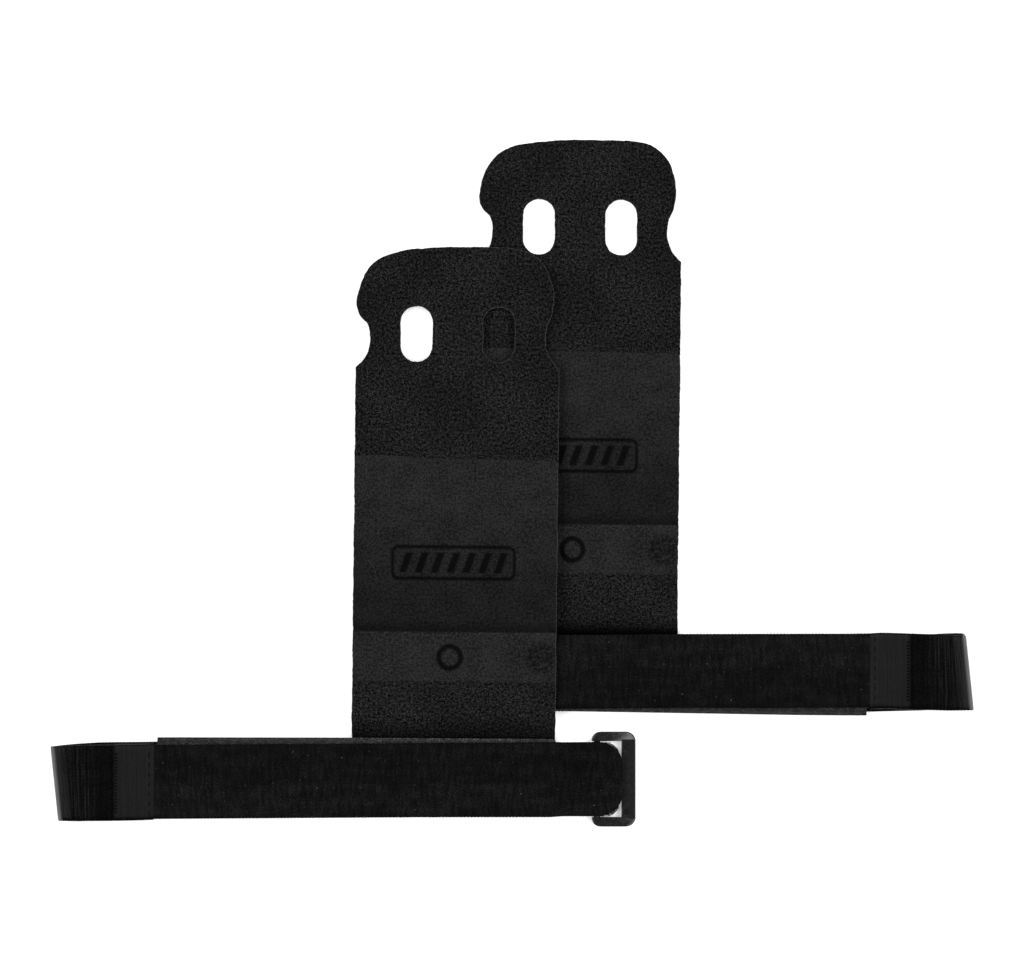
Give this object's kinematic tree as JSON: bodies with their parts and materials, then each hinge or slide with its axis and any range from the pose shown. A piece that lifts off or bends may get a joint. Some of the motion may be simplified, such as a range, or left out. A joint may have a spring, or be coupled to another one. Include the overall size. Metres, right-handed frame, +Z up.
{
  "type": "gymnastics hand grips",
  "caption": "Pair of leather palm grips with two finger slots each, sewn to hook-and-loop wrist straps with a plastic ring, lying flat with one across the other.",
  "frame": {"origin": "on the floor, under the middle of the pair's box", "axes": "+Z up from the floor, +X along the wrist straps, +Y from the straps to the finger slots"},
  "size_m": [0.3036, 0.2271, 0.0098],
  "materials": {
    "suede": "napped black suede with a smooth hot-pressed band",
    "webbing": "black satin-woven nylon tape",
    "hook_tape": "black woven hook tape, smooth back",
    "pile_tape": "black brushed pile tape",
    "ring": "semi-gloss moulded black plastic",
    "thread": "black bonded polyester thread"
  },
  "bodies": {
    "strap_b": {"wrist_tab_b": "suede", "loop_tape_b": "webbing", "back_tape_b": "webbing", "eye_tape_b": "webbing", "pile_tape_b": "pile_tape", "edge_stitching_b": "thread", "eye_stitching_b": "thread", "front_tape_b": "webbing", "hook_tape_b": "hook_tape", "seam_stitching_b": "thread"},
    "leather_b": {"palm_leather_b": "suede"},
    "fingers_b": {"finger_leather_b": "suede"},
    "ring_b": {"ring_b": "ring"},
    "strap_a": {"wrist_tab_a": "suede", "loop_tape_a": "webbing", "back_tape_a": "webbing", "eye_tape_a": "webbing", "pile_tape_a": "pile_tape", "edge_stitching_a": "thread", "eye_stitching_a": "thread"},
    "leather_a": {"palm_leather_a": "suede"},
    "fingers_a": {"finger_leather_a": "suede"},
    "ring_a": {"ring_a": "ring"},
    "tail_a": {"front_tape_a": "webbing", "hook_tape_a": "hook_tape", "seam_stitching_a": "thread"}
  },
  "joints": [
    {"name": "leather_fold_b", "type": "hinge", "parent": "strap_b", "child": "leather_b", "pos_m": [0.0209, -0.0495, 0.0018], "axis": [1, 0, 0], "range_deg": [0, 75]},
    {"name": "finger_fold_b", "type": "hinge", "parent": "leather_b", "child": "fingers_b", "pos_m": [0.0209, 0.0833, 0.0018], "axis": [1, 0, 0], "range_deg": [0, 75]},
    {"name": "ring_swing_b", "type": "hinge", "parent": "strap_b", "child": "ring_b", "pos_m": [-0.028, -0.0625, 0.0021], "axis": [0, 1, 0], "range_deg": [-90, 0]},
    {"name": "grip_a_lift", "type": "slide", "parent": "strap_b", "child": "strap_a", "axis": [0, 0, 1], "range_m": [0, 0.15]},
    {"name": "leather_fold_a", "type": "hinge", "parent": "strap_a", "child": "leather_a", "pos_m": [-0.0194, -0.0746, 0.00814], "axis": [1, 0, 0], "range_deg": [0, 90]},
    {"name": "finger_fold_a", "type": "hinge", "parent": "leather_a", "child": "fingers_a", "pos_m": [-0.0194, 0.0479, 0.00494], "axis": [1, 0, 0], "range_deg": [0, 90]},
    {"name": "ring_swing_a", "type": "hinge", "parent": "strap_a", "child": "ring_a", "pos_m": [0.028, -0.0979, 0.0021], "axis": [0, -1, 0], "range_deg": [0, 120]},
    {"name": "tail_peel_a", "type": "hinge", "parent": "strap_a", "child": "tail_a", "pos_m": [-0.1518, -0.0979, 0.0049], "axis": [0, -1, 0], "range_deg": [0, 100]}
  ],
  "couplings": [
    {"joint": "leather_fold_a", "follows": "leather_fold_b", "ratio": 1.2}
  ]
}
